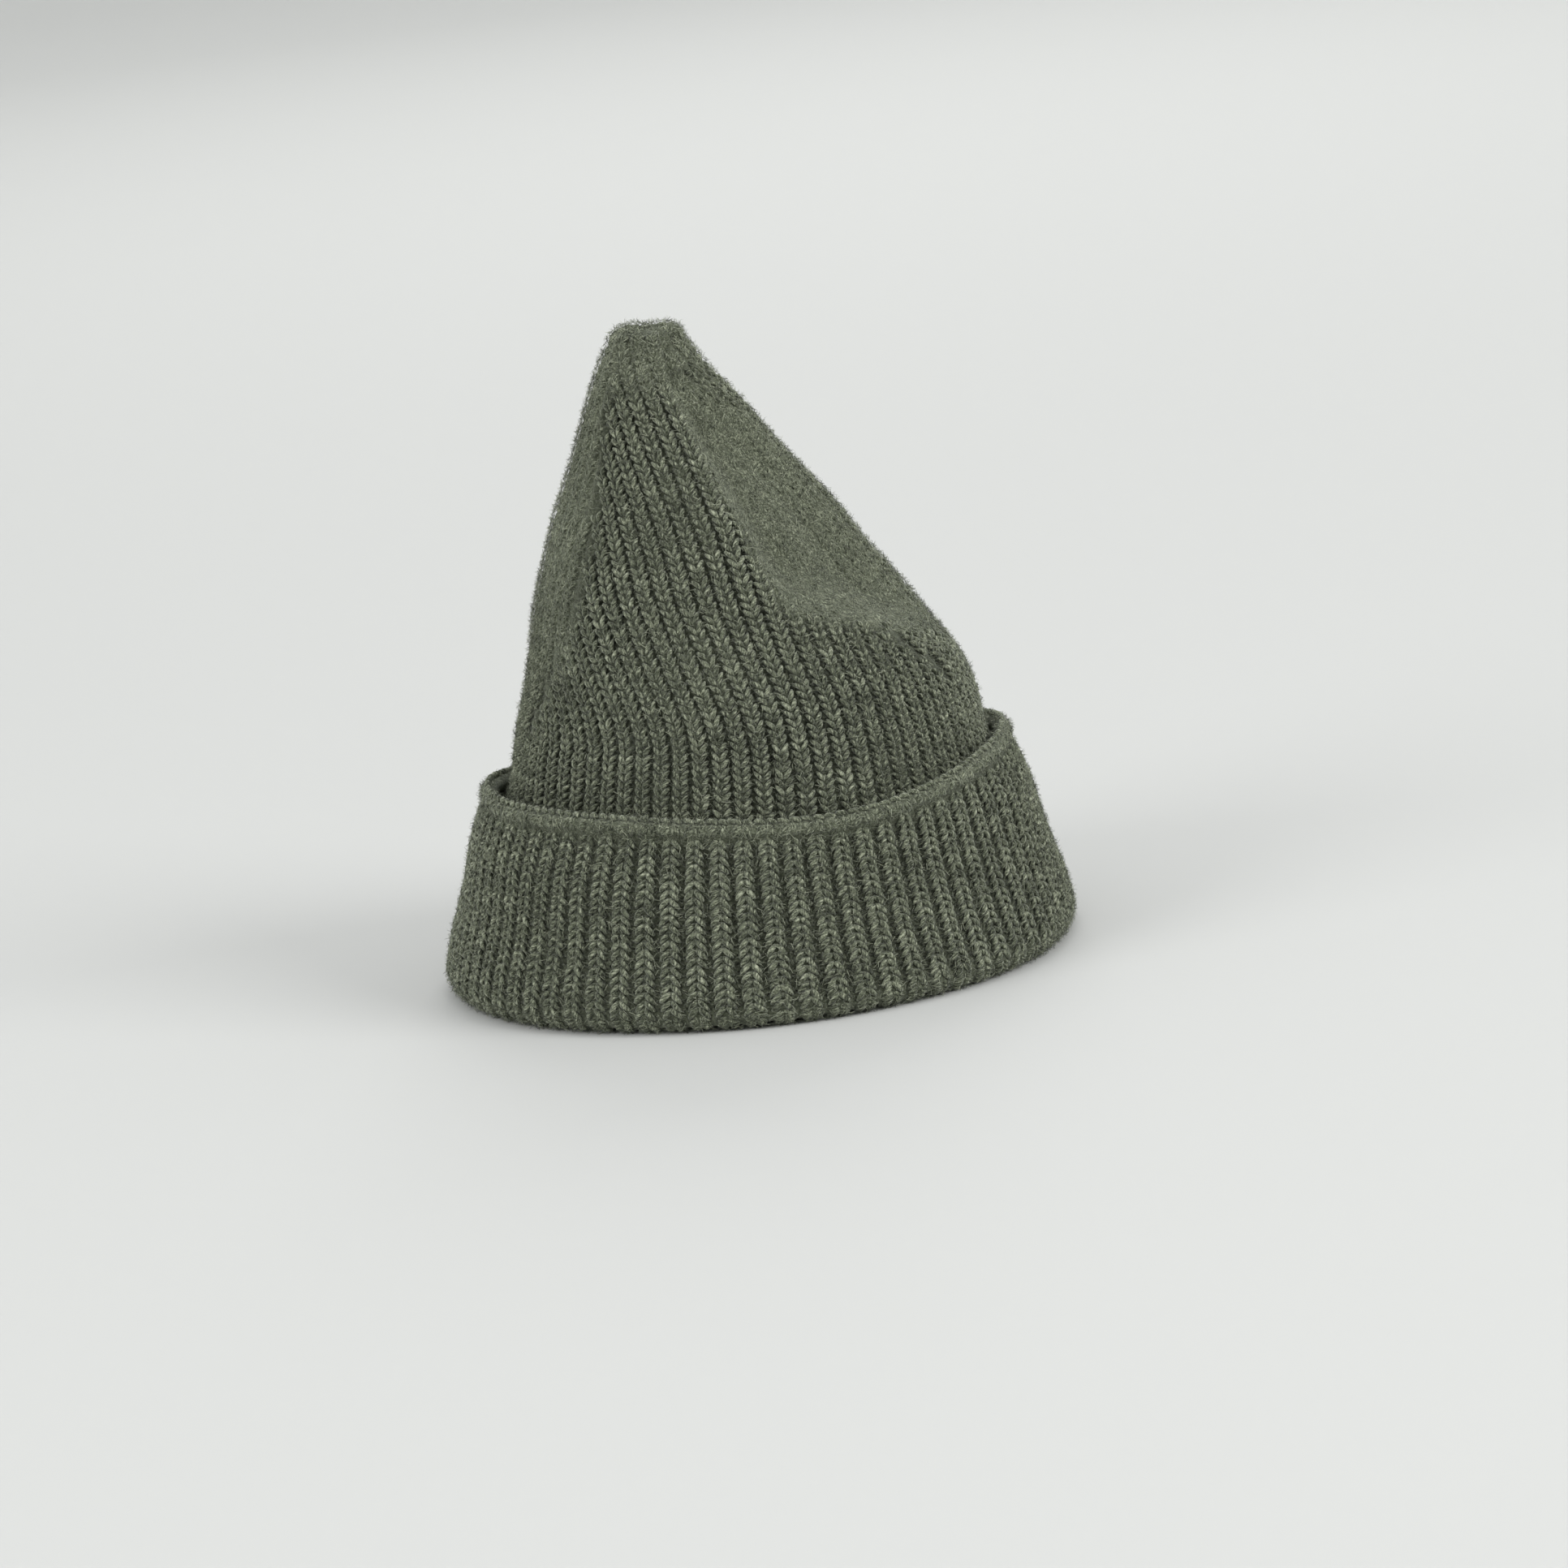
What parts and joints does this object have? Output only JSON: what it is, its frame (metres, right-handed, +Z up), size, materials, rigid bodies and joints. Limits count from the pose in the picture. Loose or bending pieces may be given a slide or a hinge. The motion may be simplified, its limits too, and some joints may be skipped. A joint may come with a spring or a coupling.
{
  "type": "knit beanie",
  "caption": "Rib-knit wool beanie with a turned-up cuff and a tall, soft, blunt peak that leans to one side and can flop over.",
  "frame": {"origin": "centre of the rim, on the plane that the fold of the cuff rests on", "axes": "+Z up through the crown, -Y towards the front, +X to the right seen from the front; the peak leans towards -X"},
  "size_m": [0.1894, 0.1894, 0.1941],
  "materials": {
    "rib_knit": "dark grey-green heathered wool in 1x1 rib, softly fuzzy, matte",
    "rib_knit_inside": "the same wool rib on the inside, a little darker and less fuzzy",
    "yarn_seam": "joined edges and yarn ends in the same wool",
    "label_cloth": "blank woven satin ribbon",
    "label_thread": "fine sewing thread"
  },
  "bodies": {
    "hat_body": {"cuff_fold": "rib_knit", "inner_band": "rib_knit_inside", "turn_up_cuff": "rib_knit", "cuff_edge_welt": "rib_knit", "crown_base": "rib_knit", "crown_wall": "rib_knit", "crown_waist": "rib_knit", "band_seam": "yarn_seam", "cuff_seam": "yarn_seam", "crown_seam": "yarn_seam", "waist_seam_front_left": "yarn_seam", "waist_seam_front_right": "yarn_seam", "waist_seam_back_right": "yarn_seam", "waist_seam_back_left": "yarn_seam", "care_label": "label_cloth", "label_thread": "label_thread"},
    "peak": {"gore_front": "rib_knit", "gore_right": "rib_knit", "gore_back": "rib_knit", "gore_left": "rib_knit", "peak_tip": "rib_knit", "tip_knot": "yarn_seam", "peak_seam_front_left": "yarn_seam", "peak_seam_front_right": "yarn_seam", "peak_seam_back_right": "yarn_seam", "peak_seam_back_left": "yarn_seam"}
  },
  "joints": [
    {"name": "peak_flop", "type": "hinge", "parent": "hat_body", "child": "peak", "pos_m": [-0.004, 0, 0.112], "axis": [0, 1, 0], "range_deg": [-45, 45], "deforming": ["crown_waist", "waist_seam_front_left", "waist_seam_front_right", "waist_seam_back_right", "waist_seam_back_left"]}
  ]
}
